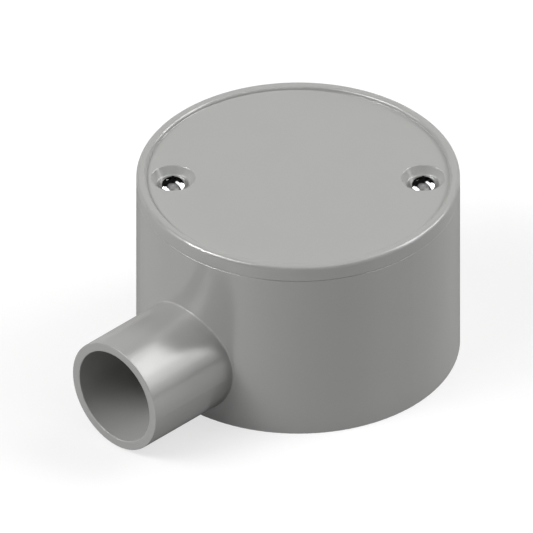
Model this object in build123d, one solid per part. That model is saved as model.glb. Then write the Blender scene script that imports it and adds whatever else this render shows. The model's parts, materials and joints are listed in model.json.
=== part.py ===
from build123d import *
import math
import os

# Round junction box with one conduit socket. Millimetres and degrees.
# Origin: middle of the flat underside. +Z is up through the lid, and the socket points along -Y.

# Round body
body_diameter = 66.0
body_wall = 2.3
base_thickness = 2.5
body_rim_height = 38.0
base_edge_rounding = 0.1
parting_edge_rounding = 0.12
cavity_corner_rounding = 1.2
cavity_floor_rounding = 0.8

# Conduit socket
conduit_bore = 20.1
socket_wall = 1.95
socket_reach = 20.0
socket_ground_gap = 0.5
socket_edge_rounding = 0.15
socket_lead_in_rounding = 0.2
socket_root_rounding = 0.3
conduit_stop_thickness = 1.5
conduit_stop_opening = 17.5

# Lid screws, a small machine screw with a domed pan head
screw_inset = 7.5
screw_line_angle = 45.0
thread_diameter = 3.0
thread_depth = 0.25
screw_length = 12.0
screw_tip_chamfer = 0.4
head_diameter = 5.6
head_height = 1.55
head_side_height = 0.3
head_edge_rounding = 0.15
cross_span = 2.96
cross_foot_span = 1.1
cross_depth = 1.2
cross_slot_width = 0.6

# Brass inserts in the screw pillars
insert_wall = 0.8
insert_length = 5.0
insert_thread_clearance = 0.05
insert_groove_width = 1.0
insert_groove_depth = 0.3
insert_chamfer = 0.3

# Screw pillars
pillar_wall = 1.7
pillar_lid_gap = 0.2
screw_tip_room = 1.0

# Base fixing holes
fixing_spacing = 38.0
fixing_hole_diameter = 4.8
fixing_pad_diameter = 10.0
fixing_pad_height = 1.0
fixing_pad_rounding = 0.3

# Lid
lid_edge_height = 3.4
lid_plate_thickness = 2.2
lid_rim_width = 2.0
lid_rim_step = 0.8
lid_outer_rounding = 0.7
lid_rim_edge_rounding = 0.55
lid_rim_foot_rounding = 0.2
lid_pocket_rounding = 0.6
spigot_clearance = 0.3
spigot_wall = 1.4
spigot_depth = 1.5
spigot_lead_in = 0.4

# Screw recesses in the lid
head_sink = 0.2
head_seat_margin = 0.65
recess_flare = 1.05
recess_edge_rounding = 0.2
recess_corner_rounding = 0.3
screw_hole_clearance = 0.2
boss_wall = 1.4
boss_floor = 2.35

# Extra length of a cutting shape beyond the face that it opens
overshoot = 1.0

# Radii and heights that follow
body_radius = body_diameter / 2
cavity_radius = body_radius - body_wall
socket_bore_radius = conduit_bore / 2
socket_radius = socket_bore_radius + socket_wall
socket_axis_height = socket_ground_gap + socket_radius
socket_mouth_distance = body_radius + socket_reach
conduit_stop_distance = cavity_radius + conduit_stop_thickness

screw_radius = body_radius - screw_inset
screw_angles = {"far": screw_line_angle, "near": screw_line_angle + 180.0}
core_radius = thread_diameter / 2 - thread_depth
head_radius = head_diameter / 2
insert_radius = thread_diameter / 2 + insert_wall
pillar_radius = insert_radius + pillar_wall

lid_top_height = body_rim_height + lid_edge_height
lid_floor_height = lid_top_height - lid_rim_step
lid_underside_height = lid_floor_height - lid_plate_thickness
lid_rim_inner_radius = body_radius - lid_rim_width
rim_foot_rounding = min(lid_rim_foot_rounding, lid_rim_step / 4)
rim_edge_rounding = min(lid_rim_edge_rounding, 0.7 * lid_rim_step)
spigot_radius = cavity_radius - spigot_clearance
spigot_inner_radius = spigot_radius - spigot_wall
spigot_end_height = body_rim_height - spigot_depth

head_seat_height = lid_floor_height - head_sink - head_height
recess_seat_radius = head_radius + head_seat_margin
recess_mouth_radius = recess_seat_radius + recess_flare
screw_hole_radius = thread_diameter / 2 + screw_hole_clearance
boss_radius = recess_seat_radius + boss_wall
boss_end_height = head_seat_height - boss_floor
pillar_top_height = min(boss_end_height, spigot_end_height) - pillar_lid_gap
insert_foot_height = pillar_top_height - insert_length
screw_tip_height = head_seat_height - screw_length
screw_hole_foot_height = screw_tip_height - screw_tip_room


def turned(corners):
    """Solid turned about Z from the corners of its half section: radius, height and rounding."""
    section = make_face(Polyline(*[(radius, 0, height) for radius, height, _ in corners], close=True))
    for radius, height, rounding in corners:
        if rounding:
            corner = section.vertices().sort_by_distance((radius, 0, height))[0]
            section = fillet(corner, rounding)
    return revolve(section, Axis.Z)


def rod(radius, low, high):
    """Upright round rod on the Z axis between two heights."""
    return Pos(0, 0, low) * Cylinder(radius, high - low, align=(Align.CENTER, Align.CENTER, Align.MIN))


def at_screw(angle):
    """Place of one lid screw's axis."""
    return Rot(0, 0, angle) * Pos(screw_radius, 0, 0)


def socket_rod(radius, start, end):
    """Round rod on the socket's axis between two distances from the body's axis."""
    socket_plane = Plane(origin=(0, -start, socket_axis_height), x_dir=(1, 0, 0), z_dir=(0, -1, 0))
    return socket_plane * Cylinder(radius, end - start, align=(Align.CENTER, Align.CENTER, Align.MIN))


def outer_shell():
    """Solid outer form of the box: the round body with the socket grown out of its wall."""
    body = turned([
        (0, 0, 0),
        (body_radius, 0, base_edge_rounding),
        (body_radius, body_rim_height, parting_edge_rounding),
        (0, body_rim_height, 0),
    ])
    socket = socket_rod(socket_radius, 0, socket_mouth_distance)
    socket = fillet(socket.edges().sort_by(Axis.Y)[0], socket_edge_rounding)
    shell = body + socket
    root_edges = new_edges(body, socket, combined=shell)
    return fillet(root_edges, socket_root_rounding)


def pillar_plan():
    """Plan of one screw pillar with the web that ties it to the wall, on the X axis."""
    web_length = cavity_radius + body_wall / 2 - screw_radius
    web = Pos(screw_radius, 0) * Rectangle(web_length, 2 * pillar_radius, align=(Align.MIN, Align.CENTER))
    return Pos(screw_radius, 0) * Circle(pillar_radius) + web


def cavity():
    """Wiring space of the box: a round well around the two screw pillars, open at the top."""
    plan = Sketch() + Circle(cavity_radius)
    for angle in screw_angles.values():
        plan -= Rot(0, 0, angle) * pillar_plan()
    corners = [v for v in plan.vertices() if math.hypot(v.X, v.Y) > cavity_radius - cavity_corner_rounding / 2]
    plan = fillet(corners, cavity_corner_rounding)
    well = Pos(0, 0, base_thickness) * extrude(plan, pillar_top_height - base_thickness)
    well = fillet(well.edges().group_by(Axis.Z)[0], cavity_floor_rounding)
    return well + rod(cavity_radius, pillar_top_height, body_rim_height + overshoot)


def socket_bore():
    """Bore for the conduit, down to its stop, and the smaller opening through the stop."""
    bore = socket_rod(socket_bore_radius, conduit_stop_distance, socket_mouth_distance + overshoot)
    stop_radius = conduit_stop_opening / 2
    wall_at_opening_side = math.sqrt(cavity_radius**2 - stop_radius**2)
    return bore + socket_rod(stop_radius, wall_at_opening_side - overshoot, conduit_stop_distance)


def make_box():
    """Box moulding: shell, wiring space, socket bore, pillar holes and base fixing holes."""
    box = outer_shell() - cavity() - socket_bore()
    mouth = box.edges().filter_by(GeomType.CIRCLE).group_by(Axis.Y)[0].sort_by(SortBy.RADIUS)[0]
    box = fillet(mouth, socket_lead_in_rounding)
    for angle in screw_angles.values():
        insert_hole = rod(insert_radius, insert_foot_height, pillar_top_height + overshoot)
        tip_hole = rod(screw_hole_radius, screw_hole_foot_height, insert_foot_height)
        box -= at_screw(angle) * (insert_hole + tip_hole)
    pad_top = base_thickness + fixing_pad_height
    for side in (-1, 1):
        pad = rod(fixing_pad_diameter / 2, base_thickness / 2, pad_top)
        pad = fillet(pad.edges().sort_by(Axis.Z)[-1], fixing_pad_rounding)
        hole = rod(fixing_hole_diameter / 2, -overshoot, pad_top + overshoot)
        box += Pos(side * fixing_spacing / 2, 0, 0) * pad
        box -= Pos(side * fixing_spacing / 2, 0, 0) * hole
    return box


def screw_recess():
    """Space cut into the lid for one screw: flared recess, flat seat and clearance hole."""
    flare = turned([
        (0, head_seat_height, 0),
        (recess_seat_radius, head_seat_height, recess_corner_rounding),
        (recess_mouth_radius, lid_floor_height, 0),
        (0, lid_floor_height, 0),
    ])
    hole = rod(screw_hole_radius, boss_end_height - overshoot, head_seat_height)
    return flare + hole


def make_lid():
    """Lid moulding: plate with raised rim, locating spigot, and a boss under each screw recess."""
    lid = turned([
        (0, lid_underside_height, 0),
        (spigot_inner_radius, lid_underside_height, lid_pocket_rounding),
        (spigot_inner_radius, spigot_end_height, 0),
        (spigot_radius - spigot_lead_in, spigot_end_height, 0),
        (spigot_radius, spigot_end_height + spigot_lead_in, 0),
        (spigot_radius, body_rim_height, 0),
        (body_radius, body_rim_height, parting_edge_rounding),
        (body_radius, lid_top_height, lid_outer_rounding),
        (lid_rim_inner_radius, lid_top_height, rim_edge_rounding),
        (lid_rim_inner_radius, lid_floor_height, rim_foot_rounding),
        (0, lid_floor_height, 0),
    ])
    boss_field = rod(spigot_radius - spigot_lead_in, boss_end_height, head_seat_height)
    for angle in screw_angles.values():
        boss = at_screw(angle) * rod(boss_radius, boss_end_height, head_seat_height)
        lid += boss & boss_field
    for angle in screw_angles.values():
        lid -= at_screw(angle) * screw_recess()
        floor_circles = lid.edges().filter_by(GeomType.CIRCLE).filter_by_position(
            Axis.Z, lid_floor_height - rim_foot_rounding / 2, lid_floor_height + rim_foot_rounding / 2)
        mouth_centre = (at_screw(angle) * Pos(0, 0, lid_floor_height)).position
        mouth = floor_circles.sort_by_distance(mouth_centre)[0]
        lid = fillet(mouth, recess_edge_rounding)
    return lid


def head_profile():
    """Half section of the screw's domed pan head, standing on its seat."""
    seat = Line((0, 0, 0), (head_radius, 0, 0))
    side = Line((head_radius, 0, 0), (head_radius, 0, head_side_height))
    dome = ThreePointArc((head_radius, 0, head_side_height), dome_point(0.5), (0, 0, head_height))
    axis = Line((0, 0, head_height), (0, 0, 0))
    section = make_face([seat, side, dome, axis])
    shoulder = section.vertices().sort_by_distance((head_radius, 0, head_side_height))[0]
    return fillet(shoulder, head_edge_rounding)


def dome_point(share):
    """Point on the head's dome at a share of its radius."""
    rise = head_height - head_side_height
    dome_radius = (head_radius**2 + rise**2) / (2 * rise)
    x = share * head_radius
    return (x, 0, head_height - dome_radius + math.sqrt(dome_radius**2 - x**2))


def cross_recess():
    """Tapered cross-shaped driver recess at the top of the head."""
    foot = head_height - cross_depth
    top = head_height + overshoot
    flare = (cross_span - cross_foot_span) / 2 * (top - foot) / cross_depth
    wing = make_face(Polyline(
        (-cross_foot_span / 2, 0, foot),
        (cross_foot_span / 2, 0, foot),
        (cross_foot_span / 2 + flare, 0, top),
        (-cross_foot_span / 2 - flare, 0, top),
        close=True,
    ))
    slot = extrude(wing, cross_slot_width / 2, both=True)
    return slot + Rot(0, 0, 90) * slot


def make_screw():
    """Lid screw in its own frame, with its head's seat at zero; the thread's core is a plain rod."""
    head = revolve(head_profile(), Axis.Z)
    shank = turned([
        (0, -screw_length, 0),
        (core_radius - screw_tip_chamfer, -screw_length, 0),
        (core_radius, -screw_length + screw_tip_chamfer, 0),
        (core_radius, 0, 0),
        (0, 0, 0),
    ])
    return head + shank - cross_recess()


def make_insert():
    """Threaded insert in its own frame, with its top face at zero and a groove round its middle."""
    bore_radius = thread_diameter / 2 + insert_thread_clearance
    groove_top = -(insert_length - insert_groove_width) / 2
    groove_foot = groove_top - insert_groove_width
    groove_radius = insert_radius - insert_groove_depth
    return turned([
        (bore_radius, -insert_length, 0),
        (insert_radius - insert_chamfer, -insert_length, 0),
        (insert_radius, -insert_length + insert_chamfer, 0),
        (insert_radius, groove_foot, 0),
        (groove_radius, groove_foot, 0),
        (groove_radius, groove_top, 0),
        (insert_radius, groove_top, 0),
        (insert_radius, 0, 0),
        (bore_radius + insert_chamfer, 0, 0),
        (bore_radius, -insert_chamfer, 0),
    ])


def make_nodes():
    """Every piece at its place, by name."""
    nodes = {"box": make_box(), "lid": make_lid()}
    screw = make_screw()
    insert = make_insert()
    for side, angle in screw_angles.items():
        nodes["lid_screw_" + side] = at_screw(angle) * Pos(0, 0, head_seat_height) * screw
        nodes["thread_insert_" + side] = at_screw(angle) * Pos(0, 0, pillar_top_height) * insert
    return nodes


os.makedirs("parts", exist_ok=True)
for name, shape in make_nodes().items():
    export_step(shape, "parts/" + name + ".step")
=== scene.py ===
import json
import math

import bpy
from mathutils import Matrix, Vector


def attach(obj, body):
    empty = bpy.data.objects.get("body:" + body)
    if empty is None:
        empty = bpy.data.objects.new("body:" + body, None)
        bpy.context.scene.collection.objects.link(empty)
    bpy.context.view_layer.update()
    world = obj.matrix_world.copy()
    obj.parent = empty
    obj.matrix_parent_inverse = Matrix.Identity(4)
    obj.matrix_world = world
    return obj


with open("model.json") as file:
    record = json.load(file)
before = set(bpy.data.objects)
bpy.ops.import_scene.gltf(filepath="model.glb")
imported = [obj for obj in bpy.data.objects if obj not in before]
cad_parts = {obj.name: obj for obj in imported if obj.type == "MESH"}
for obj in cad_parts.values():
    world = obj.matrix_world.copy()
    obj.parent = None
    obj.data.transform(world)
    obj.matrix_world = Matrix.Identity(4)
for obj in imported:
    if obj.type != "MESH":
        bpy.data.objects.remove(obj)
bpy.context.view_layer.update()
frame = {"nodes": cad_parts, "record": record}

# Sizes are in metres and angles in degrees. Azimuths of the view and the lights are measured
# from straight away from the camera, clockwise seen from above; the socket points along -Y.
MM = 0.001
WHITE = (1.0, 1.0, 1.0, 1.0)

# Camera, square to the isometric direction
VIEW_AZIMUTH = 45.0
VIEW_ELEVATION = 35.264
PIXELS_PER_MM = 4.9067
PICTURE_PIXELS = 533
AXIS_PIXEL_X = 298.15
BASE_PIXEL_Y = 340.40
CAMERA_DISTANCE = 1.0
CLIP_START = 0.01
CLIP_END = 60.0

# Softboxes: azimuth, elevation, width, height and roll as angles, and radiance. Each one is a
# nest of panels one behind the other, so that its light fades towards its edges.
SOFTBOX_DISTANCE = 8.0
SOFTBOX_PANEL_GAP = 0.1
SOFTBOX_PANEL_SHARES = (0.6, 1.0, 1.28)
WATTS_PER_RADIANCE = 4.0
SOFTBOXES = {
    "softbox_left": (-107.0, 42.0, 20.0, 15.0, 0.0, 13.3),
    "softbox_left_back": (-84.0, 32.0, 11.0, 13.0, 0.0, 5.8),
    "softbox_left_front": (-130.0, 46.0, 20.0, 15.0, 0.0, 5.5),
    "softbox_right": (78.0, 47.0, 50.0, 14.0, 41.0, 4.8),
    "softbox_right_back": (64.0, 32.0, 20.0, 16.0, 0.0, 7.2),
    "softbox_right_low": (98.0, 17.0, 18.0, 20.0, 0.0, 1.4),
    "softbox_front_right": (140.0, 44.0, 36.0, 34.0, 0.0, 0.40),
    "softbox_top": (180.0, 78.0, 56.0, 44.0, 0.0, 0.35),
    "softbox_behind": (10.0, 14.0, 60.0, 16.0, 0.0, 1.8),
}
NOT_REFLECTED = ("softbox_behind",)

# Dome of dark cloth behind the softboxes, seen only in reflections
CLOTH_DISTANCE = 10.0
CLOTH_AZIMUTHS = (-180, 180)
CLOTH_ELEVATIONS = (2, 88)
CLOTH_STEP = 2
CLOTH_COLOUR = (0.03, 0.03, 0.03, 1.0)

# White surroundings and floor, both dim as a source of light
WORLD_WHITE = 1.0
WORLD_FILL = 0.0
FLOOR_SIZE = 12.0
FLOOR_WHITE = 0.33
FLOOR_DIM = 0.25
FLOOR_GLOW = 0.68

# Noises: the middle part of their values that is used, and how fine they are
NOISE_LOW = 0.3
NOISE_HIGH = 0.7
GRAIN_DETAIL = 2.0
METAL_CLOUD_DETAIL = 3.0
METAL_GLOSS_DETAIL = 4.0

# Grey plastic: two close greys in soft clouds, a fine moulded grain and small changes of gloss
PLASTIC_LIGHT = (0.413, 0.413, 0.403, 1.0)
PLASTIC_DARK = (0.407, 0.407, 0.397, 1.0)
PLASTIC_CLOUD_SCALE = 90.0
PLASTIC_CLOUD_DETAIL = 2.0
PLASTIC_GLOSS_SCALE = 450.0
PLASTIC_GLOSS_DETAIL = 3.0
PLASTIC_ROUGHNESS = (0.185, 0.215)
PLASTIC_IOR = 1.58
PLASTIC_GLOSS_LEVEL = 0.8
PLASTIC_MATT_FROM = 0.3
PLASTIC_MATT_TO = 0.93
PLASTIC_MATT_POWER = 3.2
PLASTIC_GRAIN_SCALE = 4200.0
PLASTIC_GRAIN_DEPTH = 0.0006 * MM
PLASTIC_GRAIN_STRENGTH = 0.35

# Bright plated steel of the lid screws
STEEL_LIGHT = (0.60, 0.60, 0.59, 1.0)
STEEL_DARK = (0.50, 0.50, 0.50, 1.0)
STEEL_CLOUD_SCALE = 700.0
STEEL_ROUGHNESS = (0.04, 0.09)
STEEL_GRAIN_SCALE = 1500.0
STEEL_GRAIN_DEPTH = 0.002 * MM
STEEL_GRAIN_STRENGTH = 0.4

# Turned brass of the thread inserts, with turning rings round the screw axis
BRASS_LIGHT = (0.76, 0.60, 0.31, 1.0)
BRASS_DARK = (0.62, 0.45, 0.20, 1.0)
BRASS_CLOUD_SCALE = 600.0
BRASS_ROUGHNESS = (0.2, 0.34)
BRASS_RING_PITCH = 0.12 * MM
BRASS_RING_DEPTH = 0.004 * MM
BRASS_RING_STRENGTH = 0.6

# Lid screws: places of their axes and the thread that is cut on each shank
SCREW_AXIS_SHIFT = 18.0312 * MM
SCREWS = {"screw_far": 1.0, "screw_near": -1.0}
THREAD_PITCH = 0.5 * MM
THREAD_ROOT_RADIUS = 1.22 * MM
THREAD_CREST_RADIUS = 1.49 * MM
THREAD_FOOT_WIDTH = 0.4 * MM
THREAD_CREST_WIDTH = 0.08 * MM
THREAD_BOTTOM = 27.3 * MM
THREAD_TOP = 38.2 * MM
THREAD_RUN_OUT_TURNS = 0.5
THREAD_STEPS_PER_TURN = 48


def world_direction(azimuth, elevation):
    """Unit vector of a direction given from the camera's heading."""
    heading = math.radians(90.0 + VIEW_AZIMUTH - azimuth)
    rise = math.radians(elevation)
    flat = math.cos(rise)
    return Vector((math.cos(heading) * flat, math.sin(heading) * flat, math.sin(rise)))


def aim(item, target, direction, distance):
    """Places an item at a distance along a direction from a target, looking back at it."""
    item.location = target + direction * distance
    item.rotation_euler = (-direction).to_track_quat("-Z", "Y").to_euler()


def link(name, data):
    """New object in the scene."""
    item = bpy.data.objects.new(name, data)
    bpy.context.scene.collection.objects.link(item)
    return item


def new_material(name):
    """New material with its node tree and its shader."""
    material = bpy.data.materials.new(name)
    material.use_nodes = True
    tree = material.node_tree
    return material, tree, tree.nodes["Principled BSDF"]


def make_camera():
    """Orthographic camera; the point it looks at follows from the object's place in the picture."""
    data = bpy.data.cameras.new("camera")
    data.type = "ORTHO"
    data.ortho_scale = PICTURE_PIXELS / PIXELS_PER_MM * MM
    data.clip_start = CLIP_START
    data.clip_end = CLIP_END
    camera = link("camera", data)
    bpy.context.scene.camera = camera
    back = world_direction(180.0, VIEW_ELEVATION)
    turn = back.to_track_quat("Z", "Y")
    right = turn @ Vector((1.0, 0.0, 0.0))
    up = turn @ Vector((0.0, 1.0, 0.0))
    middle = PICTURE_PIXELS / 2
    shift_right = (middle - AXIS_PIXEL_X) / PIXELS_PER_MM * MM
    shift_up = (BASE_PIXEL_Y - middle) / PIXELS_PER_MM * MM
    aim(camera, right * shift_right + up * shift_up, back, CAMERA_DISTANCE)


def make_panel(name, azimuth, elevation, width, height, roll, radiance, distance):
    """Area lamp far off in a direction, with its size and roll given as angles."""
    data = bpy.data.lights.new(name, "AREA")
    data.shape = "RECTANGLE"
    data.size = 2 * distance * math.tan(math.radians(width / 2))
    data.size_y = 2 * distance * math.tan(math.radians(height / 2))
    data.energy = radiance * WATTS_PER_RADIANCE * data.size * data.size_y
    lamp = link(name, data)
    lamp.visible_camera = False
    aim(lamp, Vector(), world_direction(azimuth, elevation), distance)
    lamp.rotation_euler.rotate_axis("Z", math.radians(roll))
    return lamp


def make_lights():
    """Large far softboxes, so that every flat face is lit evenly."""
    for name, (azimuth, elevation, width, height, roll, radiance) in SOFTBOXES.items():
        part = radiance / len(SOFTBOX_PANEL_SHARES)
        for place, share in enumerate(SOFTBOX_PANEL_SHARES):
            distance = SOFTBOX_DISTANCE + place * SOFTBOX_PANEL_GAP
            size = (share * width, share * height)
            lamp = make_panel(name, azimuth, elevation, *size, roll, part, distance)
            lamp.visible_glossy = name not in NOT_REFLECTED


def make_cloth():
    """Dome of dark cloth, for the dark reflections in bright metal."""
    first_azimuth, last_azimuth = CLOTH_AZIMUTHS
    first_elevation, last_elevation = CLOTH_ELEVATIONS
    azimuths = range(first_azimuth, last_azimuth + CLOTH_STEP, CLOTH_STEP)
    elevations = range(first_elevation, last_elevation + CLOTH_STEP, CLOTH_STEP)
    points = [world_direction(a, e) * CLOTH_DISTANCE for e in elevations for a in azimuths]
    across = len(azimuths)
    faces = []
    for row in range(len(elevations) - 1):
        for column in range(across - 1):
            corner = row * across + column
            faces.append((corner, corner + 1, corner + 1 + across, corner + across))
    mesh = bpy.data.meshes.new("cloth")
    mesh.from_pydata(points, [], faces)
    cloth = link("cloth", mesh)
    cloth.visible_camera = False
    cloth.visible_diffuse = False
    cloth.visible_shadow = False
    material, tree, shader = new_material("dark_cloth")
    shader.inputs["Base Color"].default_value = CLOTH_COLOUR
    shader.inputs["Roughness"].default_value = 1.0
    shader.inputs["Specular IOR Level"].default_value = 0.0
    mesh.materials.append(material)


def seen_rays(tree):
    """Socket that is 1 for camera, glossy and transmission rays, and 0 for diffuse light."""
    path = tree.nodes.new("ShaderNodeLightPath")
    seen = path.outputs["Is Camera Ray"]
    for ray in ("Is Glossy Ray", "Is Transmission Ray"):
        most = tree.nodes.new("ShaderNodeMath")
        most.operation = "MAXIMUM"
        tree.links.new(seen, most.inputs[0])
        tree.links.new(path.outputs[ray], most.inputs[1])
        seen = most.outputs[0]
    return seen


def seen_or_light(tree, light_value, seen_value):
    """Socket with one value for what is seen and another for the light given off."""
    choice = tree.nodes.new("ShaderNodeMapRange")
    choice.inputs["To Min"].default_value = light_value
    choice.inputs["To Max"].default_value = seen_value
    tree.links.new(seen_rays(tree), choice.inputs["Value"])
    return choice.outputs["Result"]


def make_world():
    """White surroundings to look at, with a fill as light of strength WORLD_FILL, here none."""
    world = bpy.data.worlds.new("studio")
    bpy.context.scene.world = world
    world.use_nodes = True
    tree = world.node_tree
    tree.nodes.clear()
    output = tree.nodes.new("ShaderNodeOutputWorld")
    background = tree.nodes.new("ShaderNodeBackground")
    background.inputs["Color"].default_value = WHITE
    tree.links.new(seen_or_light(tree, WORLD_FILL, WORLD_WHITE), background.inputs["Strength"])
    tree.links.new(background.outputs[0], output.inputs["Surface"])


def make_floor():
    """Plain white floor that gives little light back to the object."""
    mesh = bpy.data.meshes.new("floor")
    half = FLOOR_SIZE / 2
    corners = [(-half, -half, 0), (half, -half, 0), (half, half, 0), (-half, half, 0)]
    mesh.from_pydata(corners, [], [(0, 1, 2, 3)])
    floor = link("floor", mesh)
    material, tree, shader = new_material("floor_white")
    shader.inputs["Roughness"].default_value = 1.0
    shader.inputs["Specular IOR Level"].default_value = 0.0
    tree.links.new(seen_or_light(tree, FLOOR_DIM, FLOOR_WHITE), shader.inputs["Base Color"])
    shader.inputs["Emission Color"].default_value = WHITE
    tree.links.new(seen_or_light(tree, 0.0, FLOOR_GLOW), shader.inputs["Emission Strength"])
    mesh.materials.append(material)


def noise(tree, vector, scale, detail):
    """Noise between 0 and 1."""
    node = tree.nodes.new("ShaderNodeTexNoise")
    node.inputs["Scale"].default_value = scale
    node.inputs["Detail"].default_value = detail
    tree.links.new(vector, node.inputs["Vector"])
    return node.outputs["Fac"]


def spread(tree, value, low, high):
    """Value turned from the middle of a noise to a range."""
    node = tree.nodes.new("ShaderNodeMapRange")
    node.inputs["From Min"].default_value = NOISE_LOW
    node.inputs["From Max"].default_value = NOISE_HIGH
    node.inputs["To Min"].default_value = low
    node.inputs["To Max"].default_value = high
    tree.links.new(value, node.inputs["Value"])
    return node.outputs["Result"]


def blend(tree, value, dark, light):
    """Colour between two colours."""
    node = tree.nodes.new("ShaderNodeMix")
    node.data_type = "RGBA"
    node.inputs["A"].default_value = dark
    node.inputs["B"].default_value = light
    tree.links.new(value, node.inputs["Factor"])
    return node.outputs["Result"]


def emboss(tree, shader, height, depth, strength):
    """Small relief on a surface."""
    node = tree.nodes.new("ShaderNodeBump")
    node.inputs["Distance"].default_value = depth
    node.inputs["Strength"].default_value = strength
    tree.links.new(height, node.inputs["Height"])
    tree.links.new(node.outputs["Normal"], shader.inputs["Normal"])


def own_place(tree):
    """Place on the object itself, so that the pattern moves with it."""
    return tree.nodes.new("ShaderNodeTexCoord").outputs["Object"]


def matt_edge(tree, shader):
    """Less gloss at flat angles, where the fine grain of a moulding scatters it."""
    weight = tree.nodes.new("ShaderNodeLayerWeight")
    share = tree.nodes.new("ShaderNodeMapRange")
    share.inputs["From Min"].default_value = PLASTIC_MATT_FROM
    share.inputs["From Max"].default_value = PLASTIC_MATT_TO
    share.inputs["To Min"].default_value = 1.0
    share.inputs["To Max"].default_value = 0.0
    bend = tree.nodes.new("ShaderNodeMath")
    bend.operation = "POWER"
    bend.inputs[1].default_value = PLASTIC_MATT_POWER
    level = tree.nodes.new("ShaderNodeMath")
    level.operation = "MULTIPLY"
    level.inputs[1].default_value = PLASTIC_GLOSS_LEVEL
    tree.links.new(weight.outputs["Facing"], share.inputs["Value"])
    tree.links.new(share.outputs["Result"], bend.inputs[0])
    tree.links.new(bend.outputs[0], level.inputs[0])
    tree.links.new(level.outputs[0], shader.inputs["Specular IOR Level"])


def make_plastic():
    """Smooth semi-gloss grey moulding plastic."""
    material, tree, shader = new_material("grey_plastic_look")
    place = own_place(tree)
    clouds = spread(tree, noise(tree, place, PLASTIC_CLOUD_SCALE, PLASTIC_CLOUD_DETAIL), 0.0, 1.0)
    patches = noise(tree, place, PLASTIC_GLOSS_SCALE, PLASTIC_GLOSS_DETAIL)
    gloss = spread(tree, patches, *PLASTIC_ROUGHNESS)
    grain = noise(tree, place, PLASTIC_GRAIN_SCALE, GRAIN_DETAIL)
    shader.inputs["IOR"].default_value = PLASTIC_IOR
    matt_edge(tree, shader)
    tree.links.new(blend(tree, clouds, PLASTIC_DARK, PLASTIC_LIGHT), shader.inputs["Base Color"])
    tree.links.new(gloss, shader.inputs["Roughness"])
    emboss(tree, shader, grain, PLASTIC_GRAIN_DEPTH, PLASTIC_GRAIN_STRENGTH)
    return material


def make_steel():
    """Bright plated steel, faintly uneven as plating is."""
    material, tree, shader = new_material("plated_steel_look")
    place = own_place(tree)
    clouds = spread(tree, noise(tree, place, STEEL_CLOUD_SCALE, METAL_CLOUD_DETAIL), 0.0, 1.0)
    patches = noise(tree, place, STEEL_CLOUD_SCALE, METAL_GLOSS_DETAIL)
    gloss = spread(tree, patches, *STEEL_ROUGHNESS)
    grain = noise(tree, place, STEEL_GRAIN_SCALE, GRAIN_DETAIL)
    shader.inputs["Metallic"].default_value = 1.0
    tree.links.new(blend(tree, clouds, STEEL_DARK, STEEL_LIGHT), shader.inputs["Base Color"])
    tree.links.new(gloss, shader.inputs["Roughness"])
    emboss(tree, shader, grain, STEEL_GRAIN_DEPTH, STEEL_GRAIN_STRENGTH)
    return material


def ring_wave(tree, place, pitch):
    """Rings round the nearer of the two screw axes, which lie on one diagonal."""
    folded = tree.nodes.new("ShaderNodeVectorMath")
    folded.operation = "ABSOLUTE"
    centred = tree.nodes.new("ShaderNodeVectorMath")
    centred.operation = "SUBTRACT"
    centred.inputs[1].default_value = (SCREW_AXIS_SHIFT, SCREW_AXIS_SHIFT, 0.0)
    flat = tree.nodes.new("ShaderNodeVectorMath")
    flat.operation = "MULTIPLY"
    flat.inputs[1].default_value = (1.0, 1.0, 0.0)
    radius = tree.nodes.new("ShaderNodeVectorMath")
    radius.operation = "LENGTH"
    turns = tree.nodes.new("ShaderNodeMath")
    turns.operation = "MULTIPLY"
    turns.inputs[1].default_value = 2 * math.pi / pitch
    wave = tree.nodes.new("ShaderNodeMath")
    wave.operation = "SINE"
    tree.links.new(place, folded.inputs[0])
    tree.links.new(folded.outputs["Vector"], centred.inputs[0])
    tree.links.new(centred.outputs["Vector"], flat.inputs[0])
    tree.links.new(flat.outputs["Vector"], radius.inputs[0])
    tree.links.new(radius.outputs["Value"], turns.inputs[0])
    tree.links.new(turns.outputs[0], wave.inputs[0])
    return wave.outputs[0]


def make_brass():
    """Turned brass."""
    material, tree, shader = new_material("brass_look")
    place = own_place(tree)
    clouds = spread(tree, noise(tree, place, BRASS_CLOUD_SCALE, METAL_CLOUD_DETAIL), 0.0, 1.0)
    patches = noise(tree, place, BRASS_CLOUD_SCALE, METAL_GLOSS_DETAIL)
    gloss = spread(tree, patches, *BRASS_ROUGHNESS)
    rings = ring_wave(tree, place, BRASS_RING_PITCH)
    shader.inputs["Metallic"].default_value = 1.0
    tree.links.new(blend(tree, clouds, BRASS_DARK, BRASS_LIGHT), shader.inputs["Base Color"])
    tree.links.new(gloss, shader.inputs["Roughness"])
    emboss(tree, shader, rings, BRASS_RING_DEPTH, BRASS_RING_STRENGTH)
    return material


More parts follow.
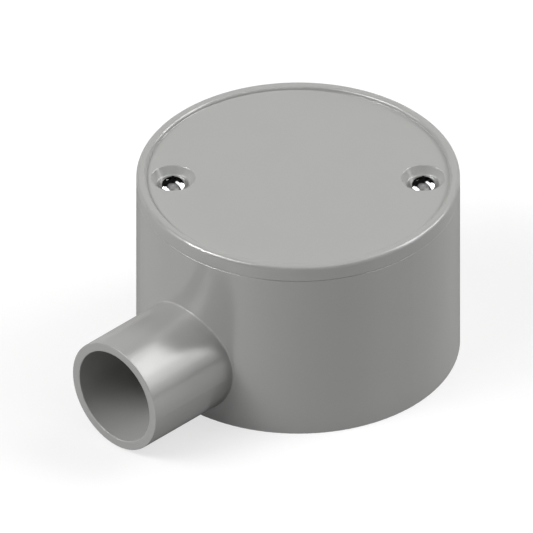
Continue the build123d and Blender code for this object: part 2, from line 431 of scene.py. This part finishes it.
def make_thread(body, side, material):
    """Helical ridge on a screw's shank, running out at both ends."""
    turns = (THREAD_TOP - THREAD_BOTTOM) / THREAD_PITCH
    steps = round(turns * THREAD_STEPS_PER_TURN)
    centre = Vector((side * SCREW_AXIS_SHIFT, side * SCREW_AXIS_SHIFT, 0.0))
    foot = THREAD_FOOT_WIDTH / 2
    crest = THREAD_CREST_WIDTH / 2
    points = []
    for step in range(steps + 1):
        turn = step / THREAD_STEPS_PER_TURN
        growth = min(1.0, turn / THREAD_RUN_OUT_TURNS, (turns - turn) / THREAD_RUN_OUT_TURNS)
        growth = max(0.0, growth)
        crest_radius = THREAD_ROOT_RADIUS + growth * (THREAD_CREST_RADIUS - THREAD_ROOT_RADIUS)
        angle = 2 * math.pi * turn
        outward = Vector((math.cos(angle), math.sin(angle), 0.0))
        height = Vector((0.0, 0.0, THREAD_BOTTOM + turn * THREAD_PITCH))
        corners = (
            (THREAD_ROOT_RADIUS, -foot),
            (crest_radius, -crest),
            (crest_radius, crest),
            (THREAD_ROOT_RADIUS, foot),
        )
        for radius, shift in corners:
            points.append(centre + outward * radius + height + Vector((0.0, 0.0, shift)))
    ring = len(corners)
    faces = []
    for step in range(steps):
        for index in range(ring):
            here = step * ring + index
            beside = step * ring + (index + 1) % ring
            faces.append((here, beside, beside + ring, here + ring))
    faces.append(tuple(range(ring)))
    faces.append(tuple(steps * ring + index for index in reversed(range(ring))))
    mesh = bpy.data.meshes.new("thread_" + body)
    mesh.from_pydata(points, [], faces)
    mesh.materials.append(material)
    thread = link("thread_" + body, mesh)
    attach(thread, body)


def dress_nodes(looks):
    """Gives every node of the frame its finish."""
    for row in frame["record"]["subparts"]:
        node = frame["nodes"][row["node"]]
        for index in range(len(node.material_slots)):
            node.material_slots[index].material = looks[row["material_slot"]]


bpy.context.scene.view_settings.view_transform = "Standard"
make_camera()
make_world()
make_floor()
make_cloth()
make_lights()
finishes = {"grey_plastic": make_plastic(), "plated_steel": make_steel(), "brass": make_brass()}
dress_nodes(finishes)
for screw_body, screw_side in SCREWS.items():
    make_thread(screw_body, screw_side, finishes["plated_steel"])
